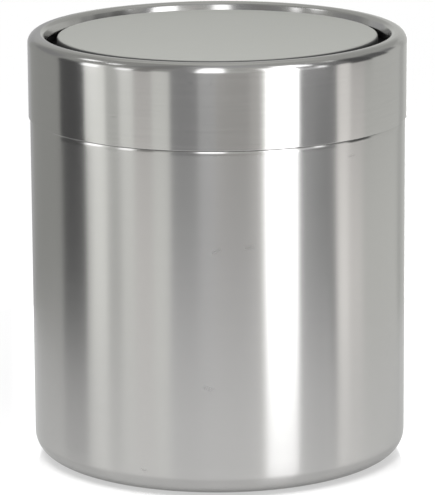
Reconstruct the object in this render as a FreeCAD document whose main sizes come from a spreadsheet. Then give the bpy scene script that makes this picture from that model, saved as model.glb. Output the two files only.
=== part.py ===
import FreeCAD, Part
import math
import os

import Sketcher
from FreeCAD import Vector

# A small table-top bin: a steel can, a lift-off lid ring with a rolled steel rim, and a round lid
# that swings on two pins. Millimetres, +Z up, the origin on the table under the middle of the can,
# the pins along X.

SIZES = (
    # can
    ("can_diameter", "124", "outside of the can's wall"),
    ("shoulder_height", "114.1", "table to the top of the can's shoulder"),
    ("sheet_thickness", "0.5", "steel of the can and the collar"),
    ("base_corner_radius", "6.5", "foot of the can, outside"),
    ("base_ring_width", "8", "flat ring round the raised bottom panel"),
    ("base_recess_depth", "1.8", "rise of the bottom panel"),
    ("shoulder_radius", "0.9", "edge of the shoulder, outside"),
    ("neck_fillet", "0.4", "foot of the neck, outside"),
    ("neck_height", "10.2", "shoulder to the top of the curled rim"),
    ("bead_radius", "0.9", "curled rim of the neck"),
    # foam pad
    ("pad_standout", "0.7", "pad below the steel"),
    ("pad_clearance", "0.5", "pad to the side of the recess"),
    ("pad_chamfer", "0.3", "lower edge of the pad"),
    # collar
    ("collar_overhang", "0.5", "collar beyond the can's wall"),
    ("collar_height", "27.75", "lower edge to crest"),
    ("seam_gap", "0.15", "shoulder to the collar's lower edge"),
    ("roll_radius", "3.2", "half-round rim, outside"),
    ("return_depth", "2.2", "straight wall inside the rim"),
    # moulded frame
    ("frame_fit", "0.15", "frame to the collar's steel"),
    ("frame_wall", "1.5", "upper wall of the frame"),
    ("plug_wall", "1.2", "wall that enters the neck"),
    ("plug_depth", "12", "plug below the ledge"),
    ("skirt_wall", "1", "skirt outside the curled rim"),
    ("skirt_depth", "4.1", "skirt below the ledge"),
    ("web_thickness", "1.6", "ledge that lies on the curled rim"),
    ("lift_clearance", "0.4", "frame to the can, sideways"),
    ("seat_gap", "0.2", "ledge to the curled rim"),
    ("frame_tip_gap", "0.5", "top of the frame below the middle of the roll"),
    ("grip_rib_height", "0.2", "upright ribs on the plug"),
    ("grip_rib_width", "1.6", "upright ribs on the plug"),
    # pivots
    ("axis_drop", "10.5", "crest to the pivot axis"),
    ("pin_diameter", "3", "pivot pin"),
    ("pin_clearance", "0.03", "pin to bush, on the radius"),
    ("press_clearance", "0.01", "pressed pieces, on the radius"),
    ("bush_wall", "1.5", "bush round the pin"),
    ("bush_flange_width", "1", "flange beyond the bush"),
    ("bush_flange_thickness", "0.8", "flange of the bush"),
    ("boss_wall", "1.5", "boss round the bush"),
    ("pin_head_diameter", "5.2", "head of the pin"),
    ("pin_head_thickness", "0.8", "head of the pin"),
    ("head_clearance", "0.6", "pin head to the collar"),
    ("end_play", "0.2", "pin head to the bush"),
    ("washer_thickness", "1", "spacer washer"),
    ("washer_wall", "1.8", "spacer washer beyond the pin"),
    ("side_play", "0.1", "washer to its neighbours"),
    # swing stops
    ("swing_angle", "85", "lid's swing to either side, degrees"),
    ("stop_clearance", "0.3", "stop tab to the boss"),
    ("stop_gap", "0.15", "stop tab to the stop at full swing"),
    ("tab_height", "1.2", "stop tab"),
    ("tab_width", "2.4", "stop tab"),
    ("tab_overlap", "1.8", "reach of the tab past the face of the stop"),
    ("stop_setback", "1", "lid's edge to the face of the stop"),
    ("stop_height", "2.4", "stop on the frame"),
    ("stop_width", "2.4", "stop on the frame"),
    # lid
    ("lid_gap", "3.3", "lid to the rim"),
    ("lid_recess", "1.1", "lid's face below the crest"),
    ("lid_edge_radius", "1", "upper edge of the lid"),
    ("lid_skin", "1.8", "top of the lid"),
    ("lid_skirt", "1.6", "side of the lid"),
    ("hub_length", "10", "hub inside the lid's skirt"),
    ("hub_wall", "2", "hub round the pin"),
    ("base_skin", "1.6", "plate under the lid"),
    ("base_fit", "0.2", "plate to the lid's skirt"),
    ("post_inset", "17", "lid's edge to the middle of a screw post"),
    ("post_wall", "2", "screw post round the screw"),
    # counterweight
    ("weight_length", "64", "bar with round ends"),
    ("weight_width", "18", "bar"),
    ("weight_thickness", "6", "bar"),
    ("weight_chamfer", "0.8", "edges of the bar"),
    ("weight_screw_spacing", "44", "screws of the bar"),
    ("weight_post_height", "6", "screw posts on the plate"),
    # screws
    ("screw_diameter", "2.6", "screw shank"),
    ("screw_clearance", "0.2", "shank in a through hole, on the radius"),
    ("screw_head_diameter", "5.2", "screw head"),
    ("screw_head_height", "1.7", "screw head"),
    ("screw_bite", "5", "shank in a post"),
    ("screw_tip_space", "0.8", "hole beyond the shank"),
    ("cross_width", "0.8", "recess in a screw head"),
    ("cross_depth", "0.9", "recess in a screw head"),
)

RIB_COUNT = 6
POST_COUNT = 4

doc = FreeCAD.newDocument("swing_lid_bin")
sheet = doc.addObject("Spreadsheet::Sheet", "Sizes")
for row, (alias, number, meaning) in enumerate(SIZES, start=1):
    sheet.set(f"A{row}", alias)
    sheet.set(f"B{row}", number)
    sheet.set(f"C{row}", meaning)
    sheet.setAlias(f"B{row}", alias)
doc.recompute()


class Size:
    """A length worked out from the sheet, kept as the text of an expression."""

    def __init__(self, text):
        self.text = text

    @staticmethod
    def text_of(term):
        return term.text if isinstance(term, Size) else repr(float(term))

    def __add__(self, other):
        return Size(f"({self.text} + {self.text_of(other)})")

    def __sub__(self, other):
        return Size(f"({self.text} - {self.text_of(other)})")

    def __mul__(self, other):
        return Size(f"({self.text} * {self.text_of(other)})")

    def __truediv__(self, other):
        return Size(f"({self.text} / {self.text_of(other)})")

    def __rmul__(self, other):
        return self * other

    def __neg__(self):
        return Size(f"(-1 * {self.text})")

    def sin(self):
        return Size(f"sin({self.text})")

    def cos(self):
        return Size(f"cos({self.text})")

    @property
    def value(self):
        return float(sheet.evalExpression(self.text))


def size(alias):
    return Size(f"Sizes.{alias}")


ZERO = Size("0")

# Sizes that follow from the sheet: the can
wall = size("sheet_thickness")
can_radius = size("can_diameter") / 2
corner = size("base_corner_radius")
steel_bottom = size("pad_standout")
panel_height = steel_bottom + size("base_recess_depth")
recess_foot = can_radius - corner - size("base_ring_width")
recess_radius = recess_foot - size("base_recess_depth")
shoulder = size("shoulder_height")

# The collar
collar_radius = can_radius + size("collar_overhang")
collar_inside = collar_radius - wall
collar_bottom = shoulder + size("seam_gap")
crest = collar_bottom + size("collar_height")
roll = size("roll_radius")
roll_height = crest - roll
throat_radius = collar_radius - 2 * roll

# The frame, and the neck that it fits
frame_radius = collar_inside - size("frame_fit")
skirt_inside = frame_radius - size("skirt_wall")
bead = size("bead_radius")
bead_radius_out = skirt_inside - size("lift_clearance")
neck_radius = bead_radius_out - 2 * bead + wall
rim_height = shoulder + size("neck_height")
plug_radius = neck_radius - wall - size("lift_clearance")
plug_inside = plug_radius - size("plug_wall")
ledge = rim_height + size("seat_gap")
upper_inside = throat_radius + wall + size("frame_fit")
upper_outside = upper_inside + size("frame_wall")

# The lid and its pivots
axis = crest - size("axis_drop")
lid_radius = throat_radius - size("lid_gap")
lid_top = crest - size("lid_recess")
lid_under = lid_top - size("lid_skin")
skirt_radius = lid_radius - size("lid_skirt")
pin_radius = size("pin_diameter") / 2
bush_bore = pin_radius + size("pin_clearance")
bush_radius = bush_bore + size("bush_wall")
flange_radius = bush_radius + size("bush_flange_width")
boss_radius = bush_radius + size("press_clearance") + size("boss_wall")
flange_face = lid_radius + size("washer_thickness") + 2 * size("side_play")
boss_face = flange_face + size("bush_flange_thickness")
head_end = collar_inside - size("head_clearance")
head_face = head_end - size("pin_head_thickness")
boss_back = head_face - size("end_play")
hub_radius = pin_radius + size("hub_wall")
hub_end = skirt_radius - size("hub_length")
tab_top = axis - boss_radius - size("stop_clearance")
lid_bottom = tab_top - size("tab_height")
plate_top = lid_bottom + size("base_skin")
plate_radius = skirt_radius - size("base_fit")

# The screws
screw_radius = size("screw_diameter") / 2
pilot_radius = screw_radius + size("press_clearance")
through_radius = screw_radius + size("screw_clearance")
post_radius = screw_radius + size("post_wall")
post_place = (lid_radius - size("post_inset")) * math.sqrt(0.5)
weight_bottom = lid_bottom - size("weight_thickness")
weight_screw_place = size("weight_screw_spacing") / 2


def new_body(label):
    body = doc.addObject("PartDesign::Body", label)
    body.Label = label
    return body


def origin_feature(body, role):
    return next(item for item in body.Origin.OriginFeatures if item.Role == role)


def new_sketch(body, name, plane, shift=(None, None, None)):
    """A sketch on one of the body's origin planes, shifted along the sketch's own x, y and z."""
    sketch = body.newObject("Sketcher::SketchObject", name)
    sketch.AttachmentSupport = [(origin_feature(body, plane), "")]
    sketch.MapMode = "FlatFace"
    for letter, length in zip("xyz", shift):
        if length is not None:
            sketch.setExpression(f"AttachmentOffset.Base.{letter}", length.text)
    return sketch


def bind(sketch, name, constraint, length):
    index = sketch.addConstraint(constraint)
    sketch.renameConstraint(index, name)
    sketch.setExpression(f"Constraints.{name}", length.text)


def place_point(sketch, name, geometry, position, x, y):
    """Fixes a point of the sketch at (x, y) from the sketch's origin."""
    for letter, length, axis_line in (("X", x, -2), ("Y", y, -1)):
        if length is ZERO:
            sketch.addConstraint(Sketcher.Constraint("PointOnObject", geometry, position, axis_line))
        else:
            distance = Sketcher.Constraint(f"Distance{letter}", -1, 1, geometry, position, length.value)
            bind(sketch, f"{letter.lower()}_{name}", distance, length)


def arc_between(start, end, radius, turn):
    """The short arc from start to end that turns left (1) or right (-1)."""
    middle = (start + end) / 2
    chord = end - start
    height = math.sqrt(max(radius * radius - chord.Length ** 2 / 4, 0.0))
    side = Vector(-chord.y, chord.x, 0).normalize()
    centre = middle + side * height * turn
    first, last = (start, end) if turn > 0 else (end, start)
    angles = [math.atan2(point.y - centre.y, point.x - centre.x) for point in (first, last)]
    return Part.ArcOfCircle(Part.Circle(centre, Vector(0, 0, 1), radius), *angles)


LEFT = 1
RIGHT = -1


def draw_outline(sketch, corners, mark="p"):
    """A closed outline. A corner is (x, y), or (x, y, radius, turn) where an arc leads on from it."""
    points = [Vector(corner[0].value, corner[1].value, 0) for corner in corners]
    edges = []
    for index, corner in enumerate(corners):
        start = points[index]
        end = points[(index + 1) % len(points)]
        if len(corner) == 2:
            edges.append((sketch.addGeometry(Part.LineSegment(start, end), False), 1, 2))
        else:
            arc = sketch.addGeometry(arc_between(start, end, corner[2].value, corner[3]), False)
            edges.append((arc, 1, 2) if corner[3] == LEFT else (arc, 2, 1))
    for index, corner in enumerate(corners):
        geometry, first, last = edges[index]
        before, _, meeting = edges[index - 1]
        sketch.addConstraint(Sketcher.Constraint("Coincident", before, meeting, geometry, first))
        place_point(sketch, f"{mark}{index}", geometry, first, corner[0], corner[1])
        if len(corner) == 4:
            arc_radius = Sketcher.Constraint("Radius", geometry, corner[2].value)
            bind(sketch, f"radius_{mark}{index}", arc_radius, corner[2])
    return sketch


def draw_circle(sketch, x, y, radius, mark="c"):
    circle = Part.Circle(Vector(x.value, y.value, 0), Vector(0, 0, 1), radius.value)
    geometry = sketch.addGeometry(circle, False)
    place_point(sketch, mark, geometry, 3, x, y)
    bind(sketch, f"radius_{mark}", Sketcher.Constraint("Radius", geometry, radius.value), radius)
    return sketch


def rectangle(left, bottom, right, top):
    return [(left, bottom), (right, bottom), (right, top), (left, top)]


def revolve(body, name, sketch, line="V_Axis"):
    feature = body.newObject("PartDesign::Revolution", name)
    feature.Profile = sketch
    feature.ReferenceAxis = (sketch, [line])
    feature.Angle = 360.0
    return feature


def pad(body, name, sketch, length):
    feature = body.newObject("PartDesign::Pad", name)
    feature.Profile = sketch
    feature.setExpression("Length", length.text)
    return feature


def pocket(body, name, sketch, depth=None):
    """A pocket along the sketch's normal, or right through both ways where no depth is given."""
    feature = body.newObject("PartDesign::Pocket", name)
    feature.Profile = sketch
    if depth is None:
        feature.SideType = "Symmetric"
        feature.Type = "ThroughAll"
    else:
        feature.Reversed = True
        feature.setExpression("Length", depth.text)
    return feature


def mirror(body, name, originals, plane="YZ_Plane"):
    feature = body.newObject("PartDesign::Mirrored", name)
    feature.Originals = originals
    feature.MirrorPlane = (origin_feature(body, plane), [""])
    body.Tip = feature
    return feature


def ring_of(body, name, originals, count):
    feature = body.newObject("PartDesign::PolarPattern", name)
    feature.Originals = originals
    feature.Axis = (origin_feature(body, "Z_Axis"), [""])
    feature.Angle = 360.0
    feature.Occurrences = count
    body.Tip = feature
    return feature


def make_can_shell():
    """Sheet section from the bottom panel up the wall to the curled rim, turned about Z."""
    body = new_body("can_shell")
    miter = wall * math.tan(math.pi / 8)
    edge = size("shoulder_radius")
    fillet = size("neck_fillet")
    curl = bead - wall
    curl_middle = neck_radius + curl
    curl_height = rim_height - bead
    outside = [
        (ZERO, panel_height),
        (recess_radius, panel_height),
        (recess_foot, steel_bottom),
        (can_radius - corner, steel_bottom, corner, LEFT),
        (can_radius, steel_bottom + corner),
        (can_radius, shoulder - edge, edge, LEFT),
        (can_radius - edge, shoulder),
        (neck_radius + fillet, shoulder, fillet, RIGHT),
        (neck_radius, shoulder + fillet),
        (neck_radius, curl_height, curl, RIGHT),
        (curl_middle, curl_height + curl, curl, RIGHT),
        (curl_middle + curl, curl_height, curl, RIGHT),
        (curl_middle, curl_height - curl),
    ]
    inside = [
        (curl_middle, curl_height - bead, bead, LEFT),
        (curl_middle + bead, curl_height, bead, LEFT),
        (curl_middle, rim_height, bead, LEFT),
        (curl_middle - bead, curl_height),
        (neck_radius - wall, shoulder + fillet, fillet + wall, LEFT),
        (neck_radius + fillet, shoulder - wall),
        (can_radius - edge, shoulder - wall, edge - wall, RIGHT),
        (can_radius - wall, shoulder - edge),
        (can_radius - wall, steel_bottom + corner, corner - wall, RIGHT),
        (can_radius - corner, steel_bottom + wall),
        (recess_foot + miter, steel_bottom + wall),
        (recess_radius + miter, panel_height + wall),
        (ZERO, panel_height + wall),
    ]
    section = draw_outline(new_sketch(body, "can_section", "XZ_Plane"), outside + inside)
    revolve(body, "can_turned", section)
    return body


def make_base_pad():
    body = new_body("base_pad")
    radius = recess_radius - size("pad_clearance")
    chamfer = size("pad_chamfer")
    corners = [
        (ZERO, ZERO),
        (radius - chamfer, ZERO),
        (radius, chamfer),
        (radius, panel_height),
        (ZERO, panel_height),
    ]
    revolve(body, "pad_turned", draw_outline(new_sketch(body, "pad_section", "XZ_Plane"), corners))
    return body


def make_collar_ring():
    """Sheet section from the rounded lower edge up the wall, over the roll and down its return."""
    body = new_body("collar_ring")
    half = wall / 2
    edge_height = collar_bottom + half
    return_end = roll_height - size("return_depth") + half
    outside = [
        (collar_radius - half, collar_bottom, half, LEFT),
        (collar_radius, edge_height),
        (collar_radius, roll_height, roll, LEFT),
        (collar_radius - roll, crest, roll, LEFT),
        (throat_radius, roll_height),
        (throat_radius, return_end, half, LEFT),
        (throat_radius + half, return_end - half, half, LEFT),
    ]
    inside = [
        (throat_radius + wall, return_end),
        (throat_radius + wall, roll_height, roll - wall, RIGHT),
        (collar_radius - roll, crest - wall, roll - wall, RIGHT),
        (collar_inside, roll_height),
        (collar_inside, edge_height, half, LEFT),
    ]
    section = draw_outline(new_sketch(body, "collar_section", "XZ_Plane"), outside + inside)
    revolve(body, "collar_turned", section)
    return body


def make_inner_frame():
    """Turned ring with plug, ledge, skirt and upper wall, two pivot bosses and four swing stops."""
    body = new_body("inner_frame")
    web_top = ledge + size("web_thickness")
    skirt_bottom = ledge - size("skirt_depth")
    plug_bottom = ledge - size("plug_depth")
    upper_top = roll_height - size("frame_tip_gap")
    corners = [
        (plug_inside, plug_bottom),
        (plug_radius, plug_bottom),
        (plug_radius, ledge),
        (skirt_inside, ledge),
        (skirt_inside, skirt_bottom),
        (frame_radius, skirt_bottom),
        (frame_radius, web_top),
        (upper_outside, web_top),
        (upper_outside, upper_top),
        (upper_inside, upper_top),
        (upper_inside, web_top),
        (plug_inside, ledge),
    ]
    section = draw_outline(new_sketch(body, "frame_section", "XZ_Plane"), corners)
    revolve(body, "frame_turned", section)

    boss_sketch = new_sketch(body, "boss_outline", "YZ_Plane", (None, None, boss_face))
    draw_circle(boss_sketch, ZERO, axis, boss_radius)
    boss = pad(body, "boss", boss_sketch, boss_back - boss_face)

    swing = size("swing_angle")
    tab_inner = boss_radius + size("stop_clearance")
    stop_rise = size("tab_width") / 2 * swing.sin() - tab_inner * swing.cos() + size("stop_gap")
    stop_bottom = axis + stop_rise
    stop_top = stop_bottom + size("stop_height")
    near = boss_radius - size("stop_clearance")
    far = near + size("stop_width")
    stop_face = lid_radius + size("stop_setback")
    stop_sketch = new_sketch(body, "stop_outlines", "YZ_Plane", (None, None, stop_face))
    draw_outline(stop_sketch, rectangle(near, stop_bottom, far, stop_top), "right")
    draw_outline(stop_sketch, rectangle(-far, stop_bottom, -near, stop_top), "left")
    stops = pad(body, "stops", stop_sketch, upper_inside + size("frame_wall") / 2 - stop_face)
    mirror(body, "bosses_and_stops", [boss, stops])

    bore_sketch = new_sketch(body, "bore_outline", "YZ_Plane")
    draw_circle(bore_sketch, ZERO, axis, bush_radius + size("press_clearance"))
    pocket(body, "bores", bore_sketch)

    half_rib = size("grip_rib_width") / 2
    rib_sketch = new_sketch(body, "rib_outline", "XY_Plane", (None, None, plug_bottom + 2 * half_rib))
    rib_tip = plug_radius + size("grip_rib_height")
    rib_corners = [
        (-half_rib, plug_radius - size("plug_wall") / 2),
        (half_rib, plug_radius - size("plug_wall") / 2),
        (half_rib / 2, rib_tip),
        (-half_rib / 2, rib_tip),
    ]
    draw_outline(rib_sketch, rib_corners)
    rib = pad(body, "rib", rib_sketch, size("plug_depth") / 2)
    ring_of(body, "ribs", [rib], RIB_COUNT)
    return body


def make_pivot_bush(label, side):
    body = new_body(label)
    corners = [
        (flange_face * side, bush_bore),
        (flange_face * side, flange_radius),
        (boss_face * side, flange_radius),
        (boss_face * side, bush_radius),
        (boss_back * side, bush_radius),
        (boss_back * side, bush_bore),
    ]
    section = new_sketch(body, f"{label}_section", "XZ_Plane", (None, axis, None))
    revolve(body, f"{label}_turned", draw_outline(section, corners), "H_Axis")
    return body


def make_pivot_pin(label, side):
    body = new_body(label)
    chamfer = pin_radius / 4
    head_radius = size("pin_head_diameter") / 2
    corners = [
        (hub_end * side, ZERO),
        (hub_end * side, pin_radius - chamfer),
        ((hub_end + chamfer) * side, pin_radius),
        (head_face * side, pin_radius),
        (head_face * side, head_radius),
        (head_end * side, head_radius),
        (head_end * side, ZERO),
    ]
    section = new_sketch(body, f"{label}_section", "XZ_Plane", (None, axis, None))
    revolve(body, f"{label}_turned", draw_outline(section, corners), "H_Axis")
    return body


def make_spacer_washer(label, side):
    body = new_body(label)
    near = lid_radius + size("side_play")
    far = near + size("washer_thickness")
    corners = [
        (near * side, bush_bore),
        (near * side, bush_bore + size("washer_wall")),
        (far * side, bush_bore + size("washer_wall")),
        (far * side, bush_bore),
    ]
    section = new_sketch(body, f"{label}_section", "XZ_Plane", (None, axis, None))
    revolve(body, f"{label}_turned", draw_outline(section, corners), "H_Axis")
    return body


def make_flap_top():
    """Turned skin and skirt, two hubs for the pins, four screw posts and two stop tabs."""
    body = new_body("flap_top")
    edge = size("lid_edge_radius")
    inner = size("lid_skirt") / 2
    corners = [
        (ZERO, lid_under),
        (skirt_radius - inner, lid_under, inner, RIGHT),
        (skirt_radius, lid_under - inner),
        (skirt_radius, lid_bottom),
        (lid_radius, lid_bottom),
        (lid_radius, lid_top - edge, edge, LEFT),
        (lid_radius - edge, lid_top),
        (ZERO, lid_top),
    ]
    revolve(body, "lid_turned", draw_outline(new_sketch(body, "lid_section", "XZ_Plane"), corners))

    into_skin = lid_under + size("lid_skin") / 2
    hub_corners = [
        (-hub_radius, axis, hub_radius, LEFT),
        (ZERO, axis - hub_radius, hub_radius, LEFT),
        (hub_radius, axis),
        (hub_radius, into_skin),
        (-hub_radius, into_skin),
    ]
    hub_sketch = new_sketch(body, "hub_outline", "YZ_Plane", (None, None, hub_end))
    draw_outline(hub_sketch, hub_corners)
    into_skirt = skirt_radius + size("lid_skirt") / 2
    hub = pad(body, "hub", hub_sketch, into_skirt - hub_end)

    half_tab = size("tab_width") / 2
    tab_end = lid_radius + size("stop_setback") + size("tab_overlap")
    tab_sketch = new_sketch(body, "tab_outline", "YZ_Plane", (None, None, into_skirt))
    draw_outline(tab_sketch, rectangle(-half_tab, lid_bottom, half_tab, tab_top))
    tab = pad(body, "stop_tab", tab_sketch, tab_end - into_skirt)
    mirror(body, "hubs_and_tabs", [hub, tab])

    bore_sketch = new_sketch(body, "pin_bore_outline", "YZ_Plane")
    draw_circle(bore_sketch, ZERO, axis, pin_radius + size("press_clearance"))
    pocket(body, "pin_bores", bore_sketch)

    post_sketch = new_sketch(body, "post_outline", "XY_Plane", (None, None, plate_top))
    draw_circle(post_sketch, post_place, post_place, post_radius)
    post = pad(body, "post", post_sketch, into_skin - plate_top)
    pilot_sketch = new_sketch(body, "pilot_outline", "XY_Plane", (None, None, plate_top))
    draw_circle(pilot_sketch, post_place, post_place, pilot_radius)
    pilot = pocket(body, "pilot", pilot_sketch, size("screw_bite") + size("screw_tip_space"))
    ring_of(body, "posts", [post, pilot], POST_COUNT)
    return body


def make_flap_base():
    """Round plate with four through holes and two posts for the screws of the bar."""
    body = new_body("flap_base")
    chamfer = size("base_skin") / 4
    corners = [
        (ZERO, lid_bottom),
        (plate_radius - chamfer, lid_bottom),
        (plate_radius, lid_bottom + chamfer),
        (plate_radius, plate_top),
        (ZERO, plate_top),
    ]
    revolve(body, "plate_turned", draw_outline(new_sketch(body, "plate_section", "XZ_Plane"), corners))

    into_plate = lid_bottom + size("base_skin") / 2
    post_top = plate_top + size("weight_post_height")
    post_sketch = new_sketch(body, "weight_post_outlines", "XY_Plane", (None, None, into_plate))
    draw_circle(post_sketch, weight_screw_place, ZERO, post_radius, "right")
    draw_circle(post_sketch, -weight_screw_place, ZERO, post_radius, "left")
    pad(body, "weight_posts", post_sketch, post_top - into_plate)

    pilot_sketch = new_sketch(body, "weight_pilot_outlines", "XY_Plane", (None, None, lid_bottom))
    draw_circle(pilot_sketch, weight_screw_place, ZERO, pilot_radius, "right")
    draw_circle(pilot_sketch, -weight_screw_place, ZERO, pilot_radius, "left")
    pilot_depth = size("base_skin") + size("screw_bite") + size("screw_tip_space") / 2
    pocket(body, "weight_pilots", pilot_sketch, pilot_depth)

    hole_sketch = new_sketch(body, "hole_outline", "XY_Plane", (None, None, lid_bottom))
    draw_circle(hole_sketch, post_place, post_place, through_radius)
    hole = pocket(body, "hole", hole_sketch, size("base_skin"))
    ring_of(body, "holes", [hole], POST_COUNT)
    return body


def make_counterweight():
    """Bar with round ends, two through holes and chamfered edges."""
    body = new_body("counterweight")
    half = size("weight_width") / 2
    straight = size("weight_length") / 2 - half
    end = straight + half
    corners = [
        (-straight, -half),
        (straight, -half, half, LEFT),
        (end, ZERO, half, LEFT),
        (straight, half),
        (-straight, half, half, LEFT),
        (-end, ZERO, half, LEFT),
    ]
    sketch = new_sketch(body, "bar_outline", "XY_Plane", (None, None, weight_bottom))
    bar = pad(body, "bar", draw_outline(sketch, corners), size("weight_thickness"))

    doc.recompute()
    level_faces = [f"Face{number}" for number, face in enumerate(bar.Shape.Faces, start=1)
                   if abs(face.normalAt(0, 0).z) > 0.99]
    chamfer = body.newObject("PartDesign::Chamfer", "bar_edges")
    chamfer.Base = (bar, level_faces)
    chamfer.setExpression("Size", size("weight_chamfer").text)

    hole_sketch = new_sketch(body, "bar_hole_outlines", "XY_Plane", (None, None, weight_bottom))
    draw_circle(hole_sketch, weight_screw_place, ZERO, through_radius, "right")
    draw_circle(hole_sketch, -weight_screw_place, ZERO, through_radius, "left")
    pocket(body, "bar_holes", hole_sketch, size("weight_thickness"))
    return body


def make_screw(body, x, y, seat, length):
    """A screw upward from its seat, with a bevelled head below it and a cross recess."""
    head_radius = size("screw_head_diameter") / 2
    head = size("screw_head_height")
    bevel = head / 3
    head_bottom = seat - head
    corners = [
        (ZERO, head_bottom),
        (head_radius - bevel, head_bottom),
        (head_radius, head_bottom + bevel),
        (head_radius, seat),
        (screw_radius, seat),
        (screw_radius, seat + length - screw_radius / 2),
        (screw_radius / 2, seat + length),
        (ZERO, seat + length),
    ]
    section = new_sketch(body, f"{body.Name}_section", "XZ_Plane", (x, None, -y))
    turned = revolve(body, f"{body.Name}_turned", draw_outline(section, corners))

    half = size("cross_width") / 2
    arm = head_radius / 2
    cross = [
        (-arm, -half), (-half, -half), (-half, -arm), (half, -arm),
        (half, -half), (arm, -half), (arm, half), (half, half),
        (half, arm), (-half, arm), (-half, half), (-arm, half),
    ]
    recess_sketch = new_sketch(body, f"{body.Name}_cross", "XY_Plane", (x, y, head_bottom))
    draw_outline(recess_sketch, cross)
    return turned, pocket(body, f"{body.Name}_recess", recess_sketch, size("cross_depth"))


def make_flap_screws():
    body = new_body("flap_screws")
    body.AllowCompound = True
    length = size("base_skin") + size("screw_bite")
    features = make_screw(body, post_place, post_place, lid_bottom, length)
    ring_of(body, "flap_screws_ring", list(features), POST_COUNT)
    return body


def make_counterweight_screws():
    body = new_body("counterweight_screws")
    body.AllowCompound = True
    length = size("weight_thickness") + size("base_skin") + size("screw_bite")
    features = make_screw(body, weight_screw_place, ZERO, weight_bottom, length)
    mirror(body, "counterweight_screws_pair", list(features))
    return body


pieces = [
    make_can_shell(),
    make_base_pad(),
    make_collar_ring(),
    make_inner_frame(),
    make_flap_top(),
    make_flap_base(),
    make_counterweight(),
    make_flap_screws(),
    make_counterweight_screws(),
]
for word, side in (("left", -1), ("right", 1)):
    pieces.append(make_pivot_bush(f"pivot_bush_{word}", side))
    pieces.append(make_pivot_pin(f"pivot_pin_{word}", side))
    pieces.append(make_spacer_washer(f"spacer_washer_{word}", side))
doc.recompute()

for item in doc.Objects:
    for word in ("Invalid", "Error"):
        if word in item.State:
            raise RuntimeError(f"{item.Label} is in state {item.State}")

SOLID_COUNTS = {"flap_screws": POST_COUNT, "counterweight_screws": 2}
os.makedirs("parts", exist_ok=True)
for piece in pieces:
    shape = piece.Shape
    if shape.isNull() or not shape.isValid():
        raise RuntimeError(f"{piece.Label} has no valid shape")
    if len(shape.Solids) != SOLID_COUNTS.get(piece.Label, 1):
        raise RuntimeError(f"{piece.Label} has {len(shape.Solids)} solids")
    shape.exportStep(f"parts/{piece.Label}.step")
    print(f"{piece.Label}: {shape.Volume / 1000:.2f} cm3, {shape.BoundBox}")
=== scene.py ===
"""Dresses a small steel bin with a swing lid, piece by piece, around its solid model."""
import math

import bpy
import numpy as np
from bpy.props import FloatProperty, FloatVectorProperty, IntProperty, PointerProperty
from bpy.types import Operator, Panel, PropertyGroup
from mathutils import Matrix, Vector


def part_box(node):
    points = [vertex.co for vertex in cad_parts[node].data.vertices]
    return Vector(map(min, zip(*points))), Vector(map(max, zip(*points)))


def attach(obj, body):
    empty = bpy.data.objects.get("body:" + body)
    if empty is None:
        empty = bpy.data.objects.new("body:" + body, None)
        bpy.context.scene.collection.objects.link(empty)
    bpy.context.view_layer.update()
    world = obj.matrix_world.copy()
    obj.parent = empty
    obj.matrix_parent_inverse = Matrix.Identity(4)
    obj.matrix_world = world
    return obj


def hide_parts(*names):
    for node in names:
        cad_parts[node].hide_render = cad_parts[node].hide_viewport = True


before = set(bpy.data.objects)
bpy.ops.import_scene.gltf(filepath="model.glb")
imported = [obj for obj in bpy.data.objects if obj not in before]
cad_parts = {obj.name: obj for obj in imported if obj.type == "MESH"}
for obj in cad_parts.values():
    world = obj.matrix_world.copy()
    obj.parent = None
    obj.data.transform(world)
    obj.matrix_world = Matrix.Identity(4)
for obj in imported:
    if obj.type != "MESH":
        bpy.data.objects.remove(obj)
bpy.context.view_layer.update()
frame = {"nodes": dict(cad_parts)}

bl_info = {
    "name": "Swing-lid bin",
    "version": (1, 0, 0),
    "blender": (4, 5, 0),
    "location": "View3D > Sidebar > Bin",
    "description": "Makes the visible pieces of a small steel bin with a swing lid, and its studio",
    "category": "Object",
}

CAN_LOW, CAN_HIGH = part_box("can_shell")
COLLAR_LOW, COLLAR_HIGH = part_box("collar_ring")
LID_LOW, LID_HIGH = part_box("flap_top")
PAD_LOW, PAD_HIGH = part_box("base_pad")
WEIGHT_LOW, WEIGHT_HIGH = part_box("counterweight")
LID_SCREWS_LOW, LID_SCREWS_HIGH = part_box("flap_screws")
WEIGHT_SCREWS_LOW, WEIGHT_SCREWS_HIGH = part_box("counterweight_screws")

PIN_HEIGHT = sum(corner.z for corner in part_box("pivot_pin_left")) / 2

MM = 0.001

# Rubbed marks on the front of the can and of the collar: x and z of the middle, half its length, half its
# width and its slope in degrees.
CAN_SCUFFS = (
    (-0.6 * MM, 82.0 * MM, 3.2 * MM, 0.7 * MM, 24.0),
    (9.6 * MM, 83.0 * MM, 2.6 * MM, 1.1 * MM, 4.0),
    (-3.4 * MM, 36.9 * MM, 2.8 * MM, 1.3 * MM, -8.0),
    (42.7 * MM, 109.0 * MM, 2.2 * MM, 0.6 * MM, 0.0),
    (-24.6 * MM, 8.6 * MM, 1.8 * MM, 0.6 * MM, -12.0),
)
COLLAR_SCUFFS = (
    (-8.8 * MM, 136.3 * MM, 1.6 * MM, 0.6 * MM, -15.0),
    (-2.2 * MM, 136.2 * MM, 1.3 * MM, 0.45 * MM, 80.0),
    (-32.7 * MM, 123.8 * MM, 1.6 * MM, 0.5 * MM, 10.0),
)

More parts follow.
